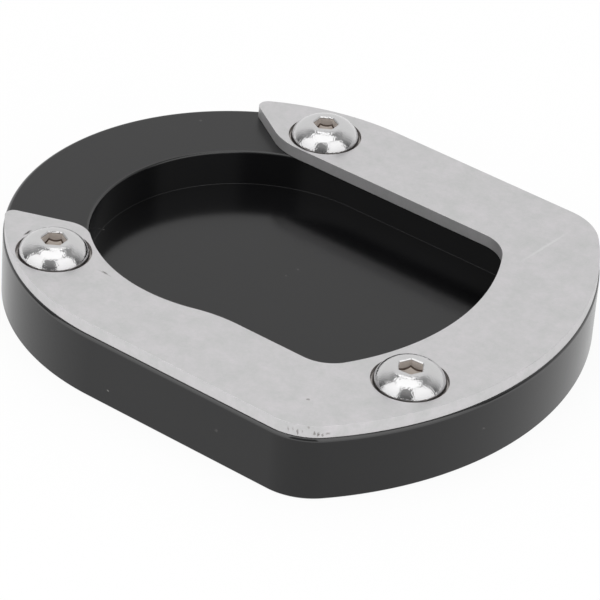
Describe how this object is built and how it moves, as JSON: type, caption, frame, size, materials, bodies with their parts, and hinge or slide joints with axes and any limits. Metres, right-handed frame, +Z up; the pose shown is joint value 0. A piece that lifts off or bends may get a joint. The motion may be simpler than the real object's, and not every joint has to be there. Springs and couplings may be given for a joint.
{
  "type": "kickstand foot enlarger",
  "caption": "Black aluminium side-stand foot enlarger with a stainless C-shaped clamp plate and polished button-head screws.",
  "frame": {"origin": "centre of the bounding box of the underside, where the foot meets the ground", "axes": "+X from the round heel to the flatter toe, +Y to the far side, +Z up out of the pocket"},
  "size_m": [0.08, 0.066, 0.0132],
  "materials": {
    "base": "satin black anodised",
    "plate": "brushed",
    "screws": "polished"
  },
  "bodies": {
    "root": {"base_block": "base", "clamp_plate": "plate", "screw_near_arm": "screws", "screw_far_arm": "screws", "screw_toe": "screws"}
  },
  "joints": []
}
